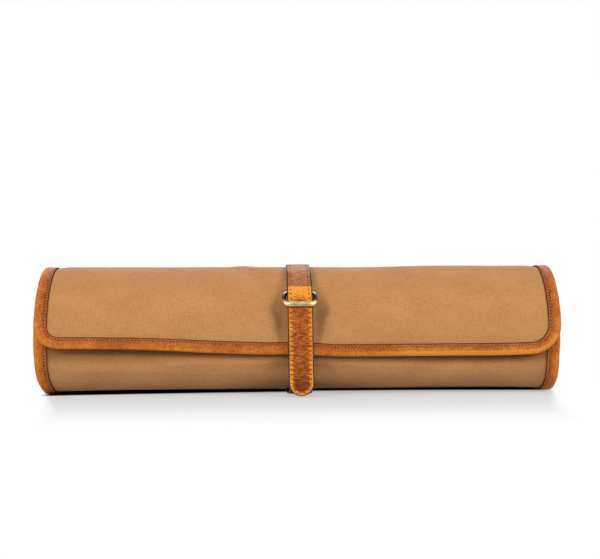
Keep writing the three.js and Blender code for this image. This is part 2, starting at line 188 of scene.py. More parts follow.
def tuck(x, turn):
    """Away from the bound ends, the second turn puffs out just below the flap's edge."""
    edge = 360 + edge_rise(x) / ARC
    if not edge - SLOT_BELOW < turn < edge + SLOT_ABOVE:
        return inset(turn)
    wide = lookup(x, SLOT_X, SLOT_WIDE)
    below = [-SLOT_ABOVE, -8, 0, 2 + wide / 2, 3 + wide, 6 + 1.5 * wide, 25, SLOT_BELOW]
    depth = [inset(edge + SLOT_ABOVE), 9.2, 10.4, 9.6, 4.6, 2.4, 1.2, inset(edge - SLOT_BELOW)]
    return inset(turn) + (lookup(edge - turn, below, depth) - inset(turn)) * eased((SLOT_END - abs(x)) / 22)


# Painted shade on the body's canvas for the flap's shadow: how far below the flap's edge it reaches, and how
# strong, along the roll
FLAP_SHADOW_REACH_X = [-230, -130, -85, 60, 120, 230]
FLAP_SHADOW_REACH = [23, 21, 12, 11, 15, 16]
FLAP_SHADOW_X = [-230, -130, -85, -40, 60, 90, 130, 230]
FLAP_SHADOW_SHARE = [0.62, 0.6, 0.3, 0.2, 0.35, 0.55, 0.66, 0.66]


def painted_shade_tone(x, turn):
    """Painted shade on the body's canvas: under the flap and in a band just below its edge for the flap's
    shadow, and darker towards the bottom near the strap.
    """
    below = 360 + edge_rise(x) / ARC - turn
    reach = lookup(x, FLAP_SHADOW_REACH_X, FLAP_SHADOW_REACH)
    flap_shadow = lookup(x, FLAP_SHADOW_X, FLAP_SHADOW_SHARE) * eased((reach - below) / (0.6 * reach))
    phi = turn + EDGE_ANGLE
    # Painted shade: darker towards the bottom of the canvas near the strap
    darkened = 0.55 * max(0.0, 1 - ((x - 4) / 78) ** 2) * unit((316 - phi) / 18)
    return max(flap_shadow, darkened)


# How much of the outer turn's forms the second turn still shows, and how softly each rests on the floor
SECOND_SHARE = 0.62
SOFT_OUTER = 1.6
SOFT_INNER = 3.2
PUFF_X = [-224, -206, -80, -20]
PUFF_SHARE = [0.0, 1.0, 1.0, 0.0]
# How far the ends lean in or out, as a share of the length, by angle
TAPER_ANGLE = [215, 258, 284, 312, 340]
LEFT_TAPER = [0.0, -0.02, -0.02, 0.003, 0.0115]
RIGHT_TAPER = [0.0, 0.003, 0.003, 0.0095, 0.0085]


def on_roll(x, turn, height):
    """A point on the wound sheet, in millimetres."""
    depth = tuck(x, turn)
    phi = turn + EDGE_ANGLE
    r = RADIUS - depth + height
    fade = 1.0 if turn < 330 else max(SECOND_SHARE, 1 - (turn - 330) / 60)
    if turn > 460:
        fade = max(0.0, SECOND_SHARE - (turn - 460) / 120)
    low = unit((phi - 215) / 40) * unit((325 - phi) / 25)
    r += swell(x, phi if phi < 200 else phi - 360) * fade * (1 - low)
    r += PUFF * bump(phi, 303, 13) * lookup(x, PUFF_X, PUFF_SHARE)
    a = radians(phi)
    z = AXIS_Z + r * sin(a)
    right = RIGHT_LIFT * max(0.0, x / HALF)
    bow = BOW * max(0.0, 1 - (x / 222) ** 6) * unit((phi - 258) / 24) + right * unit((turn - 200) / 40)
    clear = unit((abs(x) - 14) / 8) * unit((214 - abs(x)) / 10)
    bow -= (SAG + right) * clear * bump(phi, 250, 15)
    x += SKEW * bump(phi, 90, 42) * fade
    x *= 1 + fade * lookup(phi, TAPER_ANGLE, LEFT_TAPER if x < 0 else RIGHT_TAPER)
    soft = SOFT_OUTER if turn < 300 else min(SOFT_OUTER + 0.02 * (turn - 300), SOFT_INNER)
    floor_z = BASE_Z + bow + depth - height
    over = (z - floor_z) / soft
    if over < 20:
        z = floor_z + soft * log1p(exp(over))
    return (x, -r * cos(a), z)


def on_flap(x, rise, height):
    lift = edge_rise(x) * max(0.0, 1 - rise / HINGE_RISE)
    return on_roll(x, (rise + lift) / ARC, height)


def half_width(rise, side):
    """From the middle to the flap's edge, on the left (side below 0) or on the right."""
    corner = LEFT_CORNER if side < 0 else CORNER
    left = corner - rise
    if left <= 0:
        return HALF_CLOTH
    return HALF_CLOTH - corner + sqrt(max(corner ** 2 - left ** 2, 0.0))


# Meshes
def solid(name, points, faces, uv, mats, slots=None, shade=None):
    """A smooth closed mesh through points in millimetres, facing out."""
    mesh = bpy.data.meshes.new(name)
    mesh.from_pydata([tuple(c * TO_METRES for c in p) for p in points], [], faces)
    mesh.uv_layers.new(name="UVMap").data.foreach_set("uv", np.array(uv, np.float32).ravel())
    for mat in mats:
        mesh.materials.append(mat)
    if slots:
        mesh.polygons.foreach_set("material_index", slots)
    mesh.polygons.foreach_set("use_smooth", [True] * len(faces))
    if shade:
        tone = mesh.attributes.new("tone", "FLOAT", "POINT")
        tone.data.foreach_set("value", np.array(shade, np.float32).ravel())
    obj = bpy.data.objects.new(name, mesh)
    bpy.context.scene.collection.objects.link(obj)
    face_out(obj)
    return obj


def skin(uvs, base=0):
    """Faces along rows of points counted from base, the two end faces, and the places of the first."""
    n, m = len(uvs), len(uvs[0])

    def after(row, j):
        """The next place in a row, going on past its end."""
        return row[j + 1] if j + 1 < m else (row[0][0], row[j][1] + 1)

    faces, uv = [], []
    for i in range(n - 1):
        a, b = base + i * m, base + (i + 1) * m
        for j in range(m):
            k = (j + 1) % m
            faces.append((a + j, a + k, b + k, b + j))
            uv += [uvs[i][j], after(uvs[i], j), after(uvs[i + 1], j), uvs[i + 1][j]]
    ends = [tuple(range(base, base + m))[::-1], tuple(range(base + (n - 1) * m, base + n * m))]
    return faces, ends, uv


def loft(name, rings, uvs, seg_mats, mats, cap_mat=0, caps=True, shade=None):
    """A closed solid through rings of points. uvs gives (along, across) in mm for each ring point."""
    faces, ends, uv = skin(uvs)
    slots = seg_mats * (len(rings) - 1)
    if caps:
        faces += ends
        slots += [cap_mat, cap_mat]
        uv += uvs[0][::-1] + uvs[-1]
    return solid(name, [p for ring in rings for p in ring], faces, uv, mats, slots, shade)


SHARP_ANGLE = radians(55)


def face_out(obj):
    mesh = obj.data
    mesh.calc_loop_triangles()
    co = np.array([v.co for v in mesh.vertices])
    tri = np.array([t.vertices for t in mesh.loop_triangles])
    vol = np.einsum("ij,ij->i", co[tri[:, 0]], np.cross(co[tri[:, 1]], co[tri[:, 2]])).sum()
    if vol < 0:
        mesh.flip_normals()
    if hasattr(mesh, "set_sharp_from_angle"):
        mesh.set_sharp_from_angle(angle=SHARP_ANGLE)


def sheet_piece(name, rises, columns, top, bottom, mats, place, half, tone=None):
    """A cloth sheet as one closed solid: its top row of points, then its bottom row, at each rise."""
    rings, uvs, tones = [], [], []
    for rise in rises:
        xs = [half(rise, u) * u for u in columns]
        rings.append([place(x, rise, -top) for x in xs] + [place(x, rise, -bottom) for x in xs[::-1]])
        uvs.append([(x, rise) for x in xs] + [(x, rise) for x in xs[::-1]])
        if tone:
            tones += [tone(x, rise) for x in xs + xs[::-1]]
    return loft(name, rings, uvs, [0] * len(rings[0]), mats, shade=tones)


def steps(a, b, size):
    n = max(1, ceil(abs(b - a) / size))
    return [a + (b - a) * i / n for i in range(n + 1)]


def evenly(count):
    """Even places from -1 to 1."""
    return [-1 + 2 * i / (count - 1) for i in range(count)]


# Columns across the roll, closer together beside the strap
NEAR_STRAP = (3, 8, 13, 16, 18, 20, 22, 24, 27, 32)
COLUMNS = sorted(set([round(u, 5) for u in evenly(93)]
                     + [round(s * k / HALF_CLOTH, 5) for s in (-1, 1) for k in NEAR_STRAP]))
OUTER_RISES = [CORNER * (1 - cos(radians(9 * i))) for i in range(10)] + steps(CORNER, SPLIT_RISE, 3)[1:]
INNER_TURNS = steps(UNDER_TURN, 336, 3) + steps(336, 368, 1)[1:] + steps(368, LAST_TURN, 6)[1:]


# Materials
def lin(r, g, b):
    def one(c):
        c = c / 255
        return c / 12.92 if c <= 0.04045 else ((c + 0.055) / 1.055) ** 2.4
    return (one(r), one(g), one(b), 1.0)


BLACK = (0, 0, 0, 1)
WHITE = (1, 1, 1, 1)


class Nodes:
    """A node tree, built from a few small helpers."""

    def __init__(self, tree):
        self.tree = tree

    def put(self, value, socket):
        """Sets a socket to a number or a colour, or links another node's output to it."""
        if isinstance(value, (int, float, tuple)):
            socket.default_value = value
        else:
            self.tree.links.new(value, socket)

    def new(self, kind, inputs, **settings):
        n = self.tree.nodes.new("ShaderNode" + kind)
        for key, value in settings.items():
            setattr(n, key, value)
        for key, value in inputs.items():
            self.put(value, n.inputs[key])
        return n

    def math(self, op, *values):
        return self.new("Math", dict(enumerate(values)), operation=op).outputs[0]

    def times(self, a, b):
        return self.math("MULTIPLY", a, b)

    def scaled(self, a, b, c):
        """a times b, and c on top."""
        return self.math("MULTIPLY_ADD", a, b, c)

    def most(self, a, b):
        return self.math("MAXIMUM", a, b)

    def split(self, vector):
        return self.new("SeparateXYZ", {0: vector}).outputs

    def smooth(self, value, near, far, low=0.0, high=1.0):
        """The low value up to near, then softly to the high value at far."""
        spans = {"Value": value, "From Min": near, "From Max": far, "To Min": low, "To Max": high}
        return self.new("MapRange", spans, interpolation_type="SMOOTHSTEP").outputs["Result"]

    def mix(self, fac, a, b):
        return self.new("Mix", {0: fac, 6: a, 7: b}, data_type="RGBA").outputs[2]

    def looked_at(self):
        """1 for rays that come from the camera, straight, mirrored or through something clear."""
        ray = self.new("LightPath", {}).outputs
        mirrored = self.most(ray["Is Glossy Ray"], ray["Is Transmission Ray"])
        return self.most(ray["Is Camera Ray"], mirrored)


class Shader(Nodes):
    """A material on places in millimetres, along u and across v."""

    def __init__(self, name, rough, metal=0.0):
        self.mat = bpy.data.materials.new(name)
        self.mat.use_nodes = True
        super().__init__(self.mat.node_tree)
        self.surface({"Roughness": rough, "Metallic": metal})
        self.u, self.v = self.split(self.new("UVMap", {}).outputs["UV"])[:2]

    def surface(self, values):
        for key, value in values.items():
            self.put(value, self.tree.nodes["Principled BSDF"].inputs[key])

    def coords(self, size_u, size_v):
        u = self.times(self.u, 1 / size_u)
        return self.new("CombineXYZ", {0: u, 1: self.times(self.v, 1 / size_v)}).outputs[0]

    def noise(self, size_u, size_v, detail=3.0, rough=0.55, distort=0.0):
        return self.new("TexNoise", {
            "Scale": 1.0, "Detail": detail, "Roughness": rough, "Distortion": distort,
            "Vector": self.coords(size_u, size_v)}).outputs["Fac"]

    def cells(self, size):
        return self.new("TexVoronoi", {"Scale": 1.0, "Vector": self.coords(size, size)},
                        feature="DISTANCE_TO_EDGE").outputs["Distance"]

    def ramp(self, fac, stops):
        n = self.new("ValToRGB", {0: fac})
        elements = n.color_ramp.elements
        while len(elements) < len(stops):
            elements.new(0.5)
        for e, (pos, col) in zip(elements, stops):
            e.position = pos
            e.color = col
        return n.outputs[0]

    def mask(self, fac, low, high):
        return self.ramp(fac, [(low, BLACK), (high, WHITE)])

    def tone(self):
        return self.new("Attribute", {}, attribute_name="tone").outputs["Fac"]

    def finish(self, color, rough=None, height=None, strength=0.0, depth=0.0):
        """Sets the colour, and the roughness and the fine relief where there are any."""
        self.surface({"Base Color": color})
        if rough is not None:
            self.surface({"Roughness": rough})
        if height is not None:
            relief = self.new("Bump", {"Strength": strength, "Distance": depth, "Height": height})
            self.surface({"Normal": relief.outputs[0]})
        return self.mat


def woven(name, dark, mid, light, pitch, rough=0.9, twill=0.0, painted_shade_color=None):
    """Woven cloth. The tone attribute, 0 to 1, leads to a darker colour that paints shade on the cloth."""
    s = Shader(name, rough)
    wave = 2 * pi / pitch
    a = s.math("SINE", s.scaled(s.v, wave * twill, s.times(s.u, wave)))
    b = s.math("SINE", s.times(s.v, wave))
    weave = s.times(a, b)
    slub_u = s.noise(0.45, 9.0, 2.0)
    slub_v = s.noise(9.0, 0.45, 2.0)
    slubs = s.times(s.math("ADD", slub_u, slub_v), 0.5)
    cloudy = s.noise(38.0, 26.0, 4.0, 0.6)
    speck = s.noise(1.5, 1.5, 3.0, 0.7)
    fac = s.scaled(slubs, 0.75, s.times(cloudy, 0.28))
    fac = s.scaled(speck, 0.5, fac)
    fac = s.scaled(weave, 0.08, s.math("SUBTRACT", fac, 0.265))
    color = s.ramp(fac, [(0.26, dark), (0.5, mid), (0.76, light)])
    if painted_shade_color:
        color = s.mix(s.tone(), color, painted_shade_color)
    height = s.scaled(weave, 0.5, s.times(slubs, 1.4))
    s.surface({"Sheen Weight": 0.12, "Sheen Roughness": 0.5, "Specular IOR Level": 0.25})
    return s.finish(color, None, height, 0.45, 0.00025)


# Tint of the painted highlight specks on leather
PALE = (0.78, 0.5, 0.3, 1.0)


def hide(name, dark, mid, light, rough, grain, blotch, wrinkle=0.0, glint_share=0.58):
    """Smooth leather. The tone attribute, 0 to 1, darkens and brightens it: random unevenness, painted shade
    in grooves, creases, stitch holes and below the ring, and painted highlight along the binding's fold, as
    each piece sets it.
    """
    s = Shader(name, rough)
    clouds = s.noise(blotch, blotch * 0.8, 5.0, 0.62, 0.6)
    fine = s.noise(grain * 1.7, grain * 1.7, 3.0, 0.6)
    pores = s.cells(grain)
    plain_share = 1 - 0.6 * min(wrinkle, 1.0)
    fac = s.times(clouds, 0.6 - 0.2 * min(wrinkle, 1.0))
    fac = s.math("ADD", fac, s.scaled(s.math("SUBTRACT", fine, 0.5), 0.55 * plain_share, 0.2))
    # The wrinkles give relief, and also painted light and shade in the colour along them
    if wrinkle:
        wrinkles_and_painted_shade = s.noise(4.6, 0.95, 2.0, 0.5, 1.1)
        fac = s.math("ADD", fac, s.scaled(wrinkles_and_painted_shade, 0.95 * wrinkle, 0.1 - 0.475 * wrinkle))
    fac = s.math("ADD", fac, s.scaled(s.tone(), 0.9, -0.45))
    color = s.ramp(fac, [(0.16, dark), (0.5, mid), (0.84, light)])
    creases = s.math("SUBTRACT", 1.0, s.times(s.math("MINIMUM", pores, 0.12), 8.0))
    color = s.mix(s.times(creases, 0.36 * plain_share), color, dark)
    # Painted highlights: pale specks that stand in for the leather's glints
    painted_glints = s.mask(s.noise(grain * 1.3, grain * 1.3, 2.0, 0.5), 0.56, 0.72)
    pale = tuple(0.45 * c + 0.55 * w for c, w in zip(light, PALE))
    color = s.mix(s.times(painted_glints, glint_share * plain_share), color, pale)
    pits = s.math("MINIMUM", pores, 0.16)
    height = s.scaled(pits, 3.0 * plain_share, s.times(fine, 0.7))
    if wrinkle:
        height = s.scaled(wrinkles_and_painted_shade, 2.0 * wrinkle, height)
    shine = s.scaled(fine, 0.3, rough - 0.15)
    s.surface({"Specular IOR Level": 0.16})
    return s.finish(color, shine, height, 0.5, 0.00028)


def paint(name, col, rough, gloss=0.3, wear_and_painted_shade=None):
    """Edge paint. The tone attribute, 0 to 1, leads to the worn colour."""
    s = Shader(name, rough)
    wear = s.noise(2.2, 0.9, 4.0, 0.6)
    color = s.ramp(wear, [(0.3, col), (0.8, tuple(min(1, c * 2.2 + 0.004) for c in col[:3]) + (1,))])
    if wear_and_painted_shade:
        color = s.mix(s.tone(), color, wear_and_painted_shade)
    shine = s.scaled(wear, 0.25, rough - 0.1)
    s.surface({"Specular IOR Level": gloss})
    return s.finish(color, shine, wear, 0.2, 0.0002)


def thread(name, col, faded=None, pale=None):
    """Sewing thread. Colours can be given for faded patches and for the middle of each stitch."""
    s = Shader(name, 0.75)
    twist = s.math("SINE", s.scaled(s.u, 9.0, s.times(s.v, 6.3)))
    dull = tuple(c * 0.55 for c in col[:3]) + (1,)
    color = s.ramp(s.scaled(twist, 0.4, 0.5), [(0.2, dull), (0.8, col)])
    if pale:
        reach = s.math("ABSOLUTE", s.scaled(s.u, 0.5, -1.0))
        color = s.mix(s.mask(reach, 0.14, 0.42), pale, color)
    if faded:
        spot = s.new("TexCoord", {}).outputs["Object"]
        patches = s.new("TexNoise", {"Scale": 30.0, "Vector": spot}).outputs["Fac"]
        color = s.mix(s.mask(patches, 0.48, 0.68), color, faded)
    return s.finish(color, None, twist, 0.5, 0.0001)


def metal(name, tarnish_and_painted_shade, dark, light, rough):
    s = Shader(name, rough, 1.0)
    smudge = s.noise(5.0, 5.0, 2.0, 0.5)
    lines = s.noise(0.35, 7.0, 3.0, 0.7)
    color = s.ramp(smudge, [(0.3, dark), (0.65, light)])
    # Low tone gives the tarnish colour: real tarnish on the snaps, painted shade on the ring's side bars
    color = s.mix(s.tone(), tarnish_and_painted_shade, color)
    shine = s.scaled(lines, 0.1, s.scaled(smudge, 0.14, rough - 0.1))
    return s.finish(color, shine)


# The canvas's darker colour is painted shade, laid on by the tone attribute
canvas_mat = woven("waxed_canvas", lin(166, 110, 60), lin(192, 134, 81), lin(211, 157, 104), 0.72,
                   painted_shade_color=lin(112, 66, 32))
lining_mat = woven("cotton_lining", lin(88, 62, 42), lin(112, 80, 54), lin(136, 101, 72), 0.6, 0.92, 1.0)
pocket_mat = woven("pocket_canvas", lin(160, 108, 64), lin(184, 130, 82), lin(205, 152, 104), 0.72)
binding_mat = hide("cognac_binding", lin(108, 44, 6), lin(192, 97, 20), lin(236, 150, 48), 0.46, 0.85, 5.5)
strap_mat = hide("brown_strap", lin(84, 38, 14), lin(158, 92, 48), lin(206, 140, 88), 0.46, 0.8, 5.0,
                 wrinkle=1.2)
tongue_mat = hide("orange_tongue", lin(104, 40, 3), lin(196, 102, 26), lin(250, 166, 56), 0.46, 0.9, 5.0,
                  wrinkle=1.0, glint_share=0.25)
# Painted shade: near-black leather for the lower strap, standing in for the shade at the roll's foot
lower_painted_shade_mat = hide("strap_painted_shade", lin(30, 16, 10), lin(54, 32, 22), lin(86, 56, 40), 0.66, 0.8, 5.0, wrinkle=1.2)
flesh_mat = hide("leather_flesh_side", lin(70, 44, 28), lin(104, 68, 44), lin(134, 92, 62), 0.8, 1.2, 6.0)
black_mat = paint("black_edge_paint", lin(20, 12, 8), 0.42)
dark_thread_mat = thread("dark_thread", lin(58, 26, 12))
worn_thread_mat = thread("worn_thread", lin(58, 26, 12), lin(176, 96, 42), lin(204, 144, 102))
edge_mat = paint("brown_edge_paint", lin(58, 28, 16), 0.7, 0.08, lin(110, 62, 40))
brass_mat = metal("polished_brass", lin(36, 25, 14), lin(200, 178, 112), lin(244, 230, 172), 0.2)


# Bindings and stitches
# The folded binding's section: distance in from the cloth's edge, height over the canvas, tone. The tone is
# painted darker in the seam's groove (painted shade) and lighter over the fold's crest (painted highlight)
BIND_PROFILE = [
    (9.5, 0.03, 0.3), (9.52, 0.6, 0.3), (9.5, 1.05, 0.3), (9.3, 1.3, 0.3), (8.9, 1.42, 0.4),
    (8.3, 1.42, 0.45), (7.8, 1.26, 0.4), (7.2, 1.0, 0.3), (6.6, 1.22, 0.38), (5.6, 1.52, 0.43),
    (4.2, 1.82, 0.47), (2.8, 2.02, 0.52), (1.2, 2.06, 0.6), (-0.3, 1.86, 0.65), (-1.3, 1.2, 0.62),
    (-1.8, 0.3, 0.56), (-1.9, -0.9, 0.5), (-1.7, -2.2, 0.44), (-1.1, -3.1, 0.42), (0.0, -3.6, 0.42),
    (1.5, -3.78, 0.42), (5.0, -3.7, 0.42), (7.2, -3.5, 0.3), (8.6, -3.66, 0.4), (9.2, -3.4, 0.3),
    (9.4, -2.8, 0.3), (9.4, -2.14, 0.3), (5.0, -2.14, 0.3), (-0.12, -2.14, 0.3), (-0.16, -1.0, 0.3),
    (-0.12, 0.03, 0.3), (5.0, 0.03, 0.3)]
BIND_BLACK = {0, 1, 2, 3, 24, 25}
EDGE_ROWS = 4
# Rows of the fold's crest that get a painted highlight, and seam rows that get more painted shade in the
# groove near the ends
HIGHLIGHT_ROWS = {11, 12, 13, 14}
SEAM_ROWS = {6: 0.12, 7: 0.42, 8: 0.12}


def wander(s, seed):
    """A slow wave along a length, for tone and for hand-made unevenness."""
    return (0.5 * sin(s / 17.0 + seed) + 0.3 * sin(s / 7.3 + 2.1 * seed)
            + 0.2 * sin(s / 3.1 + 3.7 * seed))


def binding_piece(name, path, place, seed=0.0):
    rings, uvs, tones = [], [], []
    run = 0.0
    last = None
    for p in path:
        at = Vector(place(p, 0.0, 1.9))
        run += (at - last).length if last is not None else 0.0
        last = at
        lift = 0.12 * wander(run, seed + 5)
        ring = []
        for inward, height, _ in BIND_PROFILE:
            puff = lift if 0 < inward < 7 and height > 1 else 0.0
            ring.append(place(p, inward + 0.1 * wander(run, seed), height + puff))
        rings.append(ring)
        uvs.append([(run, 1.3 * k) for k in range(len(BIND_PROFILE))])
        away = abs(at[0])
        # Painted highlight along the fold's crest on the right half. The bound ends are darker towards their
        # tops, the flap's binding lighter on the right and left of the strap, and near the ends the seam's
        # groove gets more painted shade and the edge paint its darker colour.
        crest_highlight = 0.27 * unit(at[0] / 120) * unit((226 - at[0]) / 14)
        darkening = (0.04 if at[0] < 0 else 0.05) * unit((at[2] - 66) / 25) * unit((away - 195) / 20)
        darkened = unit((away - 205) / 12)
        brighter = 0.09 * unit((at[0] - 60) / 40) + 0.08 * bump(at[0], -38, 28)
        even = 0.12 * wander(run, seed + 9) - darkening + brighter * (1 - darkened)
        row = [tone + even + (crest_highlight if k in HIGHLIGHT_ROWS else 0.0) - darkened * SEAM_ROWS.get(k, 0.0)
               for k, (_, _, tone) in enumerate(BIND_PROFILE)]
        tones += [1 - darkened] * EDGE_ROWS + row[EDGE_ROWS:]
    segs = [1 if k in BIND_BLACK else 0 for k in range(len(BIND_PROFILE))]
    return loft(name, rings, uvs, segs, [binding_mat, edge_mat], shade=tones)


def outline(top):
    """The cloth's edge from the underside up one end, round the flap and down the other end."""
    def side(corner):
        points = [(HALF_CLOTH, r, -1.0, 0.0) for r in steps(top, corner, 3)]
        for i in range(1, 19):
            a = radians(5 * i)
            points.append((HALF_CLOTH - corner + corner * cos(a), corner - corner * sin(a),
                           -cos(a), sin(a)))
        return points

    across = [(x, 0.0, 0.0, 1.0) for x in steps(LEFT_CORNER - HALF_CLOTH, HALF_CLOTH - CORNER, 3.5)]
    left = [(-x, r, -ix, ir) for x, r, ix, ir in side(LEFT_CORNER)]
    return left + across[1:-1] + side(CORNER)[::-1]


def place_outline(p, inward, height):
    x, rise, ix, ir = p
    return on_flap(x + ix * inward, rise + ir * inward, height)


def place_end(side):
    return lambda turn, inward, height: on_roll(side * (HALF_CLOTH - inward), turn, height)


THREAD_SIDES = 6


def stitch_piece(name, runs, radius, mat):
    """Short threads, each through a few (point, normal) pairs, dipping into the leather at both ends."""
    verts, faces, uv = [], [], []
    for run in runs:
        n = len(run)
        uvs = [[(i, k) for k in range(THREAD_SIDES)] for i in range(n)]
        between, ends, places = skin(uvs, len(verts))
        faces += between + ends
        uv += places + uvs[0] * 2
        for i, (p, up) in enumerate(run):
            a = Vector(run[max(i - 1, 0)][0])
            b = Vector(run[min(i + 1, n - 1)][0])
            up = Vector(up).normalized()
            side = (b - a).normalized().cross(up).normalized()
            t = i / (n - 1) * 2 - 1
            size = radius * (0.35 + 0.65 * sqrt(max(0.0, 1 - t ** 4)))
            centre = Vector(p) + up * radius * (0.45 - 1.25 * t ** 4)
            for k in range(THREAD_SIDES):
                c = 2 * pi * k / THREAD_SIDES
                verts.append(centre + side * size * cos(c) + up * size * sin(c))
    return solid(name, verts, faces, uv, [mat])


# Stitches through the bindings: height over the canvas, pitch, length and radius
SEAM_HEIGHT = 1.0
STITCH_PITCH = 3.0
STITCH = 2.7
STITCH_RADIUS = 0.5


def binding_seam(name, path, place, inward):
    """Stitches at an even pitch along a path that place() turns into points."""
    pts = [Vector(place(p, inward, SEAM_HEIGHT)) for p in path]
    ups = [Vector(place(p, inward, SEAM_HEIGHT + 1)) - a for p, a in zip(path, pts)]
    lengths = np.concatenate([[0], np.cumsum([(b - a).length for a, b in zip(pts, pts[1:])])])
    rows = np.array([p[:] for p in pts]), np.array([u[:] for u in ups])

    def at(s):
        return [[lookup(s, lengths, row[:, k]) for k in range(3)] for row in rows]

    runs = [[at(s + STITCH * i / 4) for i in range(5)]
            for s in np.arange(STITCH_PITCH / 2, lengths[-1] - STITCH, STITCH_PITCH)]
    return stitch_piece(name, runs, STITCH_RADIUS, worn_thread_mat)


# Straps
def spline(ctrl, per=16):
    """Points on a centripetal Catmull-Rom curve through the given points."""
    def between(t0, t1, a, b):
        return ((t1 - u) * a + (u - t0) * b) / (t1 - t0)

    pts = [np.array(p, float) for p in ctrl]
    pts = [2 * pts[0] - pts[1]] + pts + [2 * pts[-1] - pts[-2]]
    out = []
    for i in range(1, len(pts) - 2):
        p = pts[i - 1:i + 3]
        t = [0.0]
        for a, b in zip(p, p[1:]):
            t.append(t[-1] + sqrt(np.linalg.norm(b - a)))
        for k in range(per):
            u = t[1] + (t[2] - t[1]) * k / per
            a = [between(t[j], t[j + 1], p[j], p[j + 1]) for j in range(3)]
            b = [between(t[j], t[j + 2], a[j], a[j + 1]) for j in range(2)]
            out.append(between(t[1], t[2], *b))
    out.append(pts[-2])
    return np.array(out)


def strap_seat(phi, height):
    """The strap's inner face where it lies on the roll: clear of the cloth over its whole width."""
    pts = [on_roll(x, phi - EDGE_ANGLE, height) for x in (-STRAP_HALF, -5, 0, 5, STRAP_HALF)]
    best = max(pts, key=lambda p: hypot(p[1], p[2] - AXIS_Z))
    return (best[1], best[2])


# How the strap leaves the roll, goes round the ring's bar and hangs in front
WRAP = 3.7
RING_ANGLE = 35.0
FRONT_Y = -59.0
LEAVE_ANGLE = 59
LEAVE_RADIUS = RADIUS + 5.2


def polar(y, z, r, angle):
    a = radians(angle)
    return (y + r * cos(a), z + r * sin(a))


def over_bar(past):
    return polar(*RING_AT[1:], WRAP, 180 - RING_ANGLE + past)


FLAT_HALF = sqrt(RADIUS ** 2 - (RADIUS - 3) ** 2)
LOW_REACH = 54.4
BEND_TOP = 15.6
lower_ctrl = [(-LOW_REACH, 33.0), (-LOW_REACH, 24.0)]
for i in range(6, -1, -1):
    a = radians(15 * i)
    lower_ctrl.append((-(FLAT_HALF + (LOW_REACH - FLAT_HALF) * sin(a)),
                       BEND_TOP - (BEND_TOP - PLY) * cos(a)))
lower_ctrl.append((0.0, PLY))
main_ctrl = [(0.0, PLY), (9.0, PLY)]
main_ctrl += [strap_seat(phi, 0.3 + 0.8 * bump(phi, 90, 25)) for phi in range(252, 79, -4)]
main_ctrl += [polar(0.0, AXIS_Z, LEAVE_RADIUS, 180 - LEAVE_ANGLE), over_bar(-22), over_bar(22),
              (FRONT_Y, AXIS_Z + 22), (FRONT_Y, AXIS_Z), (FRONT_Y, AXIS_Z / 2), (FRONT_Y, 1.5)]


class Line:
    """A section line with even spacing, its outward normals and its running length."""

    def __init__(self, ctrl):
        pts = spline(ctrl)
        keep = [0] + [i for i in range(1, len(pts)) if np.linalg.norm(pts[i] - pts[i - 1]) > 1e-6]
        self.pts = pts[keep]
        self.s = np.concatenate([[0], np.cumsum(np.linalg.norm(np.diff(self.pts, axis=0), axis=1))])
        self.length = float(self.s[-1])

    def at(self, s):
        return np.array([np.interp(s, self.s, self.pts[:, k]) for k in (0, 1)])

    def normal(self, s):
        d = self.at(min(s + 0.8, self.length)) - self.at(max(s - 0.8, 0.0))
        d /= np.linalg.norm(d)
        return np.array([d[1], -d[0]])

    def where(self, test):
        for s in np.arange(0, self.length, 0.2):
            y, z = self.at(s)
            if test(y, z):
                return float(s)
        raise ValueError("the line never gets there")


# Where the tongue begins and where the overlay ply begins, then lengths along the strap to its places
SPLIT_Z = 81.6
COVER_Z = 94.6
main_line = Line(main_ctrl)
lower_line = Line(lower_ctrl)
S_TOP = main_line.where(lambda y, z: y < 0 and z > 100)
S_RING = main_line.where(lambda y, z: y < -40 and z < RING_AT[2])
S_SPLIT = main_line.where(lambda y, z: y < -50 and z < SPLIT_Z)
S_COVER = main_line.where(lambda y, z: y < -40 and z < COVER_Z)
S_TIP = main_line.length
TIP_START = S_TIP - STRAP_HALF
DRIFT = [0.4, 0.0, 1.3]


def drift(s):
    """The strap isn't quite square to the roll."""
    return lookup(s, [S_TOP, S_RING, S_TIP], DRIFT)


EDGE_BEVEL = 0.9
BASE_BEVEL = 1.2
EDGE_TONE = 0.3
BACK_TONE = 0.4


def ribbon(name, line, stations, low, high, half, shift, relief, tone, mat, columns=25, bevel=EDGE_BEVEL,
           inner=None):
    """A leather strap with painted edges: top face, edges and flesh side in one closed solid."""
    rings, uvs, tones = [], [], []
    for s in stations:
        c = line.at(s)
        n = line.normal(s)
        h = half(s)
        w = max(inner(s) if inner else h - bevel, 0.05)
        e = max(h, 0.3)
        mid = (low + high) / 2
        edge = [(e, low + 0.35, EDGE_TONE), (e + 0.06, mid, EDGE_TONE), (e - 0.1, high - 0.3, EDGE_TONE)]
        row = [(-x, height, t) for x, height, t in edge]
        row += [(u * w, high + relief(u * w, s, h), tone(u * w, s, h)) for u in evenly(columns)]
        row += edge[::-1] + [(k * w, low, BACK_TONE) for k in (1, 0.5, 0, -0.5, -1)]
        ring = []
        for x, height, _ in row:
            p = c + n * height
            ring.append((x + shift(s), p[0], p[1]))
        rings.append(ring)
        uvs.append([(x, s) for x, _, _ in row])
        tones += [t for _, _, t in row]
    segs = [1] * 3 + [0] * (columns - 1) + [1] * 4 + [2] * 4 + [1]
    return loft(name, rings, uvs, segs, [mat, black_mat, flesh_mat], cap_mat=1, shade=tones)


def base_half(s):
    """The base ply narrows a little up to the roll's top."""
    return STRAP_HALF - 0.75 * unit((S_COVER - s) / (S_COVER - S_TOP))


def tip_width(s, half):
    past = s - TIP_START
    return half if past <= 0 else sqrt(max(half ** 2 - past ** 2, 0.0))


def tip_half(s):
    return tip_width(s, STRAP_HALF)


def tip_inner(s):
    """Half width of the tongue's face inside its painted edge."""
    return tip_width(s, STRAP_HALF - EDGE_BEVEL)


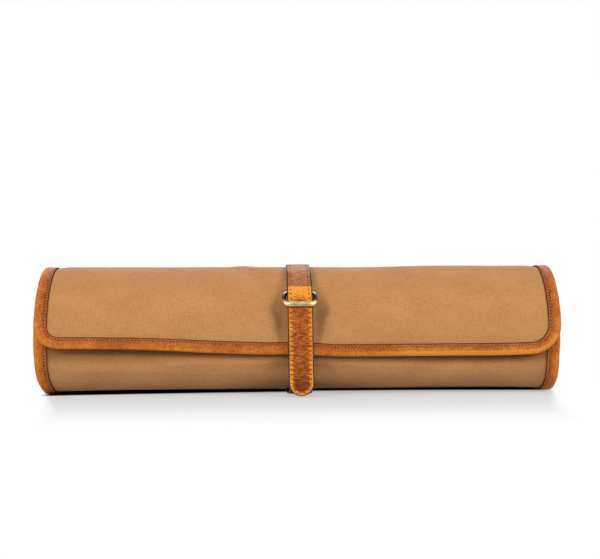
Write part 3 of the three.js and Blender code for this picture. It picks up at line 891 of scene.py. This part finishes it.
PITCH = 4.1
SEAM = 3.0
rng = np.random.RandomState(11)


def draw_creases(count, *spans):
    """Creases drawn from spans: place across and along, length, slope, depth and half width."""
    return [[rng.uniform(*span) for span in spans] for _ in range(count)]


CREASES = draw_creases(210, (-7, 7), (S_SPLIT - 2, S_TIP - 12), (1.6, 4.2), (-0.3, 0.3), (0.06, 0.2),
                       (0.28, 0.5))
TOP_CREASES = draw_creases(60, (-9, 9), (S_TOP - 20, S_COVER), (2.0, 5.0), (-0.5, 0.5), (0.06, 0.16),
                           (0.35, 0.7))


def creased(x, s, creases):
    d = 0.0
    for cx, cs, length, slope, depth, width in creases:
        ds = s - cs - slope * (x - cx)
        if abs(ds) < 2.5:
            d = max(d, depth * bump(ds, 0, width) * bump(x, cx, length))
    return d


def pricks(x, s, h):
    """The pull of the edge stitches: a groove with a dent at each hole."""
    off = abs(x) - (h - SEAM)
    hole = ((s - S_SPLIT) / PITCH) % 1.0
    near = min(hole, 1 - hole) * PITCH
    return bump(off, 0, 0.9), bump(near, 0, 0.45) * exp(-(off / 1.1) ** 4)


def sewn_face(crown, groove, dent, creases=()):
    """Height over a strap's face: rounded, pulled in along its seams and at each hole, and creased."""
    def height(x, s, h):
        pull, hole = pricks(x, s, h)
        return crown * (1 - (x / STRAP_HALF) ** 2) - groove * pull - dent * hole - creased(x, s, creases)

    return height


tongue_relief = sewn_face(0.25, 0.12, 0.4, CREASES)
cover_relief = sewn_face(0.12, 0.15, 0.3)
base_relief = sewn_face(0.1, 0.12, 0.2, TOP_CREASES)


def tongue_tone(x, s, h):
    _, dent = pricks(x, s, h)
    past = max(s - TIP_START, 0.0)
    side = unit((hypot(x, past) - (STRAP_HALF - 4.6) - 0.07 * past) / 1.1)
    wear_and_painted_shade = 0.1 * unit((s - (S_TIP - 17)) / 6)
    darkening = 0.2 * (s - S_SPLIT) / (S_TIP - S_SPLIT)
    # Painted shade at each stitch hole and in the creases, and a painted shadow of the ring just below it.
    # The face is also darker towards the tip and lighter in a band lower down.
    t = 0.44 + (0.24 + 0.07 * wander(s, 0.8)) * side + 0.05 * wander(s, 1.7) - 0.5 * dent
    t -= (wear_and_painted_shade + darkening + 0.7 * creased(x, s, CREASES)) * (1 - side)
    return t + 0.07 * bump(s, S_SPLIT + 22, 4) - 0.1 * bump(s, S_SPLIT + 4, 6)


def cover_tone(x, s, h):
    _, dent = pricks(x, s, h)
    # Painted shadow of the ring's front bar near the overlay's lower end, and painted shade at each stitch
    # hole
    low = unit((s - (S_SPLIT - 8)) / 7)
    painted_bar_shadow = low * bump(x, -1.5, 6.5)
    return 0.77 - 0.1 * low - 0.36 * painted_bar_shadow - 0.5 * dent + 0.04 * wander(s + x, 0.4)


def base_tone(x, s, h):
    groove, dent = pricks(x, s, h)
    # Painted shade in the seam's groove, at each stitch hole and in the creases
    return 0.6 - 0.06 * groove - 0.25 * dent - 0.9 * creased(x, s, TOP_CREASES) + 0.06 * wander(s, 2.3)


def across_flap(obj, slot, *nodes):
    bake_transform(obj)
    if nodes:
        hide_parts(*nodes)


def on_body(obj, body, slot, *nodes):
    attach(obj, body)
    if nodes:
        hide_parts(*nodes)


canvas_outer = sheet_piece("canvas_outer", OUTER_RISES, COLUMNS, 0, CANVAS, [canvas_mat], on_flap, half_width)
across_flap(canvas_outer, "canvas", "canvas_flap")
lining_outer = sheet_piece("lining_outer", OUTER_RISES, COLUMNS, LINING_TOP, SHEET, [lining_mat],
                           on_flap, half_width)
across_flap(lining_outer, "lining", "lining_flap")
# The body's canvas carries painted shade below the flap's edge and near the strap's foot
canvas_inner = sheet_piece("canvas_inner", INNER_TURNS, COLUMNS, 0, CANVAS, [canvas_mat],
                           on_roll, always(HALF_CLOTH), painted_shade_tone)
on_body(canvas_inner, "roll", "canvas", "canvas_body")
lining_inner = sheet_piece("lining_inner", INNER_TURNS, evenly(47), LINING_TOP, SHEET, [lining_mat],
                           on_roll, always(HALF_CLOTH))
on_body(lining_inner, "roll", "lining", "lining_body")

# How far in the seams of the flap's binding and of the end bindings lie
SEAM_IN = 7.3
END_SEAM_IN = 7.2
path = outline(SPLIT_RISE)
binding_outer = binding_piece("binding_outer", path, place_outline, 0.3)
across_flap(binding_outer, "binding", "binding_flap")
outer_stitches = binding_seam("binding_stitches", path, place_outline, SEAM_IN)
across_flap(outer_stitches, "binding")
for side, place, seed in (("left", place_end(-1), 1.3), ("right", place_end(1), 2.9)):
    strip = binding_piece("end_binding_" + side, INNER_TURNS, place, seed)
    on_body(strip, "roll", "binding", "binding_" + side)
    sewn = binding_seam("end_stitches_" + side, steps(UNDER_TURN, 420, 3), place, END_SEAM_IN)
    on_body(sewn, "roll", "binding")


# The inside: hem, pocket, its trim and the handle cover
HEM_HALF = 216.5
POCKET_TURNS = steps(405, 1020, 6)
EDGE_IN = HALF_CLOTH - 11.5
POCKET_RIGHT = 60.0
TRIM = (60.3, 74.3)
COVER_LEFT = 20.0
POCKET_PLY = (2.4, 3.3)
COVER_PLY = (3.6, 4.5)


def place_hem(x, inward, height):
    return on_roll(x, LAST_TURN - degrees(inward / (RADIUS - inset(LAST_TURN))), height)


hem = binding_piece("inner_hem", steps(-HEM_HALF, HEM_HALF, 8), place_hem, 4.1)
on_body(hem, "roll", "binding", "binding_inner_hem")


def span_sheet(name, left, right, top, bottom, mat):
    def place(x, turn, height):
        return on_roll((left + right) / 2 + x, turn, height)

    return sheet_piece(name, POCKET_TURNS, evenly(31), top, bottom, [mat], place, always((right - left) / 2))


pocket = span_sheet("knife_pocket", -EDGE_IN, POCKET_RIGHT, *POCKET_PLY, pocket_mat)
on_body(pocket, "roll", "canvas", "pocket_panel")
trim = span_sheet("pocket_trim", *TRIM, *POCKET_PLY, flesh_mat)
on_body(trim, "roll", "binding", "pocket_mouth_trim")
cover = span_sheet("handle_flap", COVER_LEFT, EDGE_IN, *COVER_PLY, lining_mat)
on_body(cover, "roll", "lining", "handle_cover")

# The strap, in the order it is worn: under the roll, up the back and over the top, then the tongue
COVER_LOW = PLY + 0.05
TWO_PLIES = 2 * PLY + 0.1
LOWER_HALF = 10.4
# The lower half lies a little to the right behind the tip: shift by length along it
LOWER_AT = [0, 20, 36, 80]
LOWER_SHIFT = [1.7, 1.7, 1.2, 0.0]
strap_lower = ribbon("strap_lower", lower_line, steps(0, lower_line.length, 2), 0.0, PLY,
                     always(LOWER_HALF), lambda s: lookup(s, LOWER_AT, LOWER_SHIFT), always(0.0), always(0.3),
                     lower_painted_shade_mat, 9)
on_body(strap_lower, "roll", "strap")
strap_base = ribbon("strap_base", main_line, steps(0, S_TOP - 25, 2.5) + steps(S_TOP - 25, S_SPLIT, 0.9)[1:],
                    0.0, PLY, base_half, drift, base_relief, base_tone, strap_mat, 21, BASE_BEVEL)
across_flap(strap_base, "strap", "strap_front", "strap_back")
strap_cover = ribbon("strap_cover", main_line, steps(S_COVER, S_SPLIT, 0.8), COVER_LOW, TWO_PLIES,
                     always(STRAP_HALF), drift, cover_relief, cover_tone, tongue_mat)
on_body(strap_cover, "flap", "tongue", "strap_overlay")
tip_steps = [TIP_START + STRAP_HALF * sin(radians(5 * i)) for i in range(1, 18)]
tongue = ribbon("tongue", main_line, steps(S_SPLIT + 0.05, TIP_START, 0.7) + tip_steps, 0.0,
                TWO_PLIES, tip_half, drift, tongue_relief, tongue_tone, tongue_mat, 33, inner=tip_inner)
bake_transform(tongue)
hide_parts("tongue_back", "tongue_face")

# One thread across the seam: how far out and how deep each of its points lies
THREAD = [(0.8 * i, 0.125 * abs(i)) for i in range(-2, 3)]
THREAD_SUNK = 0.34
SEWN_TOP = 2 * PLY + 0.02
THREAD_RADIUS = 0.36
TIP_THREADS = (15, 45, 75, 105, 135, 165)


def strap_stitches(name, start, stop, height, half, around=()):
    """Short threads that cross the leather between each pair of holes, square to the edge."""
    first = S_SPLIT + PITCH * ceil((start - S_SPLIT) / PITCH)
    threads = [[(side * (half(s) - SEAM + out), s, height - THREAD_SUNK - dip) for out, dip in THREAD]
               for side in (-1, 1) for s in np.arange(first, stop, PITCH)]
    for angle in around:
        row = []
        for out, dip in THREAD:
            x = (STRAP_HALF - SEAM + out) * cos(radians(angle))
            s = TIP_START + (STRAP_HALF - SEAM + out) * sin(radians(angle))
            row.append((x, s, height + tongue_relief(x, s, STRAP_HALF) - dip))
        threads.append(row)
    runs = []
    for row in threads:
        run = []
        for x, s, h in row:
            n = main_line.normal(s)
            run.append(((x + drift(s), *(main_line.at(s) + n * h)), (0, *n)))
        runs.append(run)
    return stitch_piece(name, runs, THREAD_RADIUS, dark_thread_mat)


tongue_sewn = strap_stitches("tongue_stitches", S_SPLIT + 3, TIP_START, SEWN_TOP, tip_half, TIP_THREADS)
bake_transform(tongue_sewn)
cover_sewn = strap_stitches("cover_stitches", S_COVER + 1, S_SPLIT - PITCH, SEWN_TOP, always(STRAP_HALF))
on_body(cover_sewn, "flap", "tongue")
base_sewn = strap_stitches("strap_stitches", S_TOP - 40, S_COVER - PITCH, PLY - 0.08, base_half)
across_flap(base_sewn, "strap")


# Keeper ring, its tab and the press snap
LEAN = radians(-147.7)
SPACING = 16.4
RING_HALF = 13.5
RING_CORNER = 3.4
BAR = 1.8
BAR_SIDES = 20
BAR_SQUARE = 2.7
RING_STEP = 1.5


def ring_piece():
    e = np.array([cos(LEAN), sin(LEAN)])
    n = np.array([sin(LEAN), -cos(LEAN)])
    corners = [(1, SPACING, 0), (-1, SPACING, 90), (-1, 0, 180), (1, 0, 270)]
    track = []
    for sx, y, start in corners:
        centre = (sx * (RING_HALF - RING_CORNER), RING_CORNER if y == 0 else y - RING_CORNER)
        for angle in (start + 7.5 * i for i in range(13)):
            track.append(np.array(polar(*centre, RING_CORNER, angle) + polar(0, 0, 1, angle)))
    filled = []
    for p, q in zip(track, track[1:] + track[:1]):
        count = max(1, round(hypot(*(q - p)[:2]) / RING_STEP))
        filled += [p + (q - p) * (k / count) for k in range(count)]
    rings, uvs, tones = [], [], []
    around = [2 * pi * k / BAR_SIDES for k in range(BAR_SIDES)]
    for i, (x, y, out_x, out_y) in enumerate(filled + filled[:1]):
        front = unit((y - SPACING + 4.0) / 4.0)
        ring = []
        for a in around:
            c, s = cos(a), sin(a)
            r = BAR / (abs(c) ** BAR_SQUARE + abs(s) ** BAR_SQUARE) ** (1 / BAR_SQUARE)
            c *= 1 + 0.25 * front
            at = np.array(RING_AT[1:]) + e * (y + out_y * r * c) + n * (r * s * (1 + 0.1 * front))
            ring.append((x + out_x * r * c + drift(S_RING), *at))
        rings.append(ring)
        uvs.append([(RING_STEP * i, 0.6 * k) for k in range(BAR_SIDES)])
        # Painted shade: the tone darkens the side bars to the tarnish colour, standing in for their shade and
        # dark reflections, and paints a dark reflection band across the middle of the front bar's face
        tone = max(bump(y, 0, 3.2), bump(y, SPACING, 3.0))
        wear_and_painted_shade = 0.55 * bump(y, SPACING, 1.0) * max(0.0, 1 - (x / 10) ** 6)
        tones += [tone * (1 - wear_and_painted_shade * bump(a, 0.6, 0.8)) for a in around]
    return loft("brass_ring", rings, uvs, [0] * BAR_SIDES, [brass_mat], caps=False, shade=tones)


WELD_REACH = 0.000001


def weld(obj):
    """Joins the points where a piece closes on itself."""
    mod = obj.modifiers.new("weld", "WELD")
    mod.merge_threshold = WELD_REACH
    deps = bpy.context.evaluated_depsgraph_get()
    mesh = bpy.data.meshes.new_from_object(obj.evaluated_get(deps))
    obj.modifiers.clear()
    obj.data = mesh


ring = ring_piece()
weld(ring)
on_body(ring, "ring", "brass", "keeper_ring")

# The tab: a strip up under the bar, round it and back down, as section points with their normals
TAB_LOW = 37
LOOP_RADIUS = 2.1
TAB_SECTION = [(-10, 0.1), (-10.05, 0.5), (-9.9, 0.9), (-9.4, 1.0), (0, 1.03), (9.4, 1.0), (9.9, 0.9),
               (10.05, 0.5), (10, 0.1), (9.6, 0.0), (0, 0.0), (-9.6, 0.0)]


def tab_point(y, z, r, angle, facing=1):
    return polar(y, z, r, angle) + polar(0, 0, facing, angle)


tab_line = [tab_point(0, AXIS_Z, RADIUS + 1.3, 180 - phi, -1) for phi in steps(LEAVE_ANGLE, TAB_LOW, 2)]
tab_line += [tab_point(*RING_AT[1:], LOOP_RADIUS, -RING_ANGLE - 7.5 * i) for i in range(25)]
tab_line += [tab_point(0, AXIS_Z, RADIUS + 5.5 - 3.9 * (phi - RING_ANGLE) / 24, 180 - phi)
             for phi in steps(TAB_LOW, LEAVE_ANGLE, 2)]
tab_rings = [[(x + drift(S_RING), y + ny * h, z + nz * h) for x, h in TAB_SECTION]
             for y, z, ny, nz in tab_line]
tab_uvs = [[(x, 1.5 * i) for x, _ in TAB_SECTION] for i in range(len(tab_line))]
tab_tones = [BACK_TONE] * (len(TAB_SECTION) * len(tab_line))
tab_segs = [1, 1, 1, 0, 0, 1, 1, 1, 1, 2, 2, 1]
tab = loft("ring_loop", tab_rings, tab_uvs, tab_segs, [strap_mat, black_mat, flesh_mat], cap_mat=1,
           shade=tab_tones)
on_body(tab, "flap", "strap", "ring_tab")


def turned(name, profile, y, z, facing, mat):
    """A turned piece on an axis along Y: profile gives (radius, distance along facing)."""
    rings, uvs = [], []
    count = 48
    for k in range(count + 1):
        a = 2 * pi * (k % count) / count
        rings.append([(r * cos(a), y + facing * h, z + r * sin(a)) for r, h in profile])
        uvs.append([(k * 0.9, j * 1.1) for j in range(len(profile))])
    tones = [0.85] * (len(rings) * len(profile))
    obj = loft(name, rings, uvs, [0] * len(profile), [mat], caps=False, shade=tones)
    weld(obj)
    return obj


SNAP_Z = 24.0
stud_box, socket_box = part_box("snap_stud"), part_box("snap_socket")
stud = turned("snap_post", [
    (0.02, 0.0), (6.4, 0.0), (6.9, 0.15), (7.0, 0.4), (6.8, 0.66), (6.2, 0.78), (3.4, 0.8), (2.7, 0.82),
    (2.25, 0.95), (2.2, 1.2), (2.5, 1.45), (2.45, 1.7), (2.0, 1.88), (0.02, 1.9)],
    stud_box[1][1] * 1000, SNAP_Z, -1, brass_mat)
on_body(stud, "roll", "brass", "snap_stud")
socket = turned("snap_cup", [
    (3.6, 0.1), (3.9, 0.0), (6.5, 0.0), (6.95, 0.2), (7.0, 0.7), (6.9, 1.15), (6.5, 1.4), (5.6, 1.48),
    (5.0, 1.3), (4.5, 1.3), (4.0, 1.48), (3.7, 1.4), (3.55, 1.1)],
    socket_box[0][1] * 1000, SNAP_Z, 1, brass_mat)
on_body(socket, "tongue", "brass", "snap_socket")


# What the cloth was cut to
def length_of(turns):
    pts = [on_roll(100.0, t, 0.0) for t in turns]
    return sum(dist(a, b) for a, b in zip(pts, pts[1:])) / 1000


# Each sheet inside lies on tighter turns, so it's a little shorter than the one outside it
POCKET_SHARE = 0.92
inner_length = length_of(INNER_TURNS)
pocket_length = length_of(POCKET_TURNS) * POCKET_SHARE

# Floor, light and camera
scene = bpy.context.scene
scene.view_settings.view_transform = "Standard"

FLOOR_TONE = (0.66, 0.7, 0.72, 1)
# Colour of the painted shadow under the roll
PAINTED_SHADOW_TONE = (0.012, 0.01, 0.01, 1)
# A painted shadow: the floor's colour is dark in a strip under the roll. Its front line in metres: how it
# slants and bends, and its step beside the strap
GAP_SLANT = 0.04
GAP_BEND = 0.3
GAP_STEP = 0.007
STEP_X = (-0.008, 0.02)
GAP_FRONT = (-0.002, 0.008)
GAP_BACK = (0.022, 0.046)
GAP_END = (0.221, 0.233)
# How white the floor looks close to the roll, and where it fades to white, towards the camera and sideways
CLOSE_WHITE = 0.44
FADE_Y = (0.1, 0.275)
FADE_MIDDLE = 0.004
FADE_LEAN = -0.023
FADE_SPREAD = 0.345
FADE_X = 0.2299
FADE_SOFTEN = 0.2
FADE_SOFT = 0.0045

floor_mesh = bpy.data.meshes.new("floor")
floor_mesh.from_pydata([(-6, -4, 0), (6, -4, 0), (6, 8, 0), (-6, 8, 0)], [], [(0, 1, 2, 3)])
floor = bpy.data.objects.new("floor", floor_mesh)
scene.collection.objects.link(floor)
f = Shader("pale_floor", 0.7)
x, y = f.split(f.new("NewGeometry", {}).outputs["Position"])[:2]
away = f.math("ABSOLUTE", y)
gap = f.scaled(x, GAP_SLANT, f.times(y, -1.0))
gap = f.scaled(f.times(x, x), -GAP_BEND, gap)
gap = f.scaled(f.smooth(x, *STEP_X), GAP_STEP, gap)
clear = f.most(f.smooth(gap, *GAP_FRONT), f.smooth(y, *GAP_BACK))
clear = f.most(clear, f.smooth(f.math("ABSOLUTE", x), *GAP_END))
close = f.times(clear, CLOSE_WHITE)
white = f.scaled(f.smooth(away, *FADE_Y), f.math("SUBTRACT", 1.0, close), close)
sidewise = f.math("ABSOLUTE", f.scaled(y, FADE_LEAN, f.math("ADD", x, -FADE_MIDDLE)))
past = f.math("SUBTRACT", f.scaled(away, FADE_SPREAD, sidewise), FADE_X)
ends = f.smooth(f.math("DIVIDE", past, f.scaled(away, FADE_SOFTEN, FADE_SOFT)), 0.0, 1.0)
white = f.times(f.most(white, ends), clear)
# Painted shadow: the floor's colour goes dark in the strip under the roll
f.surface({"Specular IOR Level": 0.0, "Base Color": f.mix(clear, PAINTED_SHADOW_TONE, FLOOR_TONE)})
shown = f.new("MixShader", {0: f.times(f.looked_at(), white),
                            1: f.tree.nodes["Principled BSDF"].outputs[0],
                            2: f.new("Emission", {}).outputs[0]})
f.put(shown.outputs[0], f.tree.nodes["Material Output"].inputs["Surface"])
floor_mesh.materials.append(f.mat)

# The sky's light, from the horizon up to the height where it is full
SKY_FULL = 0.7
SKY_LIGHT = (0.22, 0.55)
world = bpy.data.worlds.new("studio")
scene.world = world
world.use_nodes = True
w = Nodes(world.node_tree)
up = w.split(w.new("TexCoord", {}).outputs["Generated"])["Z"]
back = w.tree.nodes["Background"]
back.inputs["Color"].default_value = WHITE
w.put(w.most(w.looked_at(), w.smooth(up, 0.0, SKY_FULL, *SKY_LIGHT)), back.inputs["Strength"])


def lamp(name, at, aim, size, watts):
    data = bpy.data.lights.new(name, "AREA")
    data.shape = "RECTANGLE"
    data.size, data.size_y = size
    data.energy = watts
    obj = bpy.data.objects.new(name, data)
    scene.collection.objects.link(obj)
    obj.location = at
    obj.rotation_euler = (Vector(aim) - Vector(at)).to_track_quat("-Z", "Y").to_euler()


SIDE_SIZE = (0.5, 0.45)
SIDE_WATTS = 8.2
LONG_SIZE = (1.2, 0.4)
lamp("left", (-1.05, -1.05, 0.72), (0, 0, 0.06), SIDE_SIZE, SIDE_WATTS)
lamp("right", (1.05, -1.05, 0.72), (0, 0, 0.06), SIDE_SIZE, SIDE_WATTS)
lamp("front", (0.0, -1.5, 0.5), (0, 0, 0.05), LONG_SIZE, 4)
lamp("rear", (0.0, 1.25, 1.15), (0, 0, 0.05), LONG_SIZE, 6)

# The camera stands a little to the left and looks level, for a picture of this width
PIXELS_WIDE = 600
FOCAL_PIXELS = 1202
SHIFT_PIXELS = 0.5
SENSOR = 36.0
CAMERA_REACH = 1.104
CAMERA_SIDE = 0.0028
CAMERA_HEIGHT = 0.1022
CAMERA_ROLL = radians(0.17)
CAMERA_YAW = radians(2.6)
camera_data = bpy.data.cameras.new("camera")
camera_data.shift_y = SHIFT_PIXELS / PIXELS_WIDE
camera_data.sensor_fit = "HORIZONTAL"
camera_data.sensor_width = SENSOR
camera_data.lens = SENSOR * FOCAL_PIXELS / PIXELS_WIDE
camera = bpy.data.objects.new("camera", camera_data)
scene.collection.objects.link(camera)
camera.location = (CAMERA_SIDE - CAMERA_REACH * sin(CAMERA_YAW), -CAMERA_REACH * cos(CAMERA_YAW),
                   CAMERA_HEIGHT)
camera.rotation_euler = (radians(90), CAMERA_ROLL, -CAMERA_YAW)
scene.camera = camera
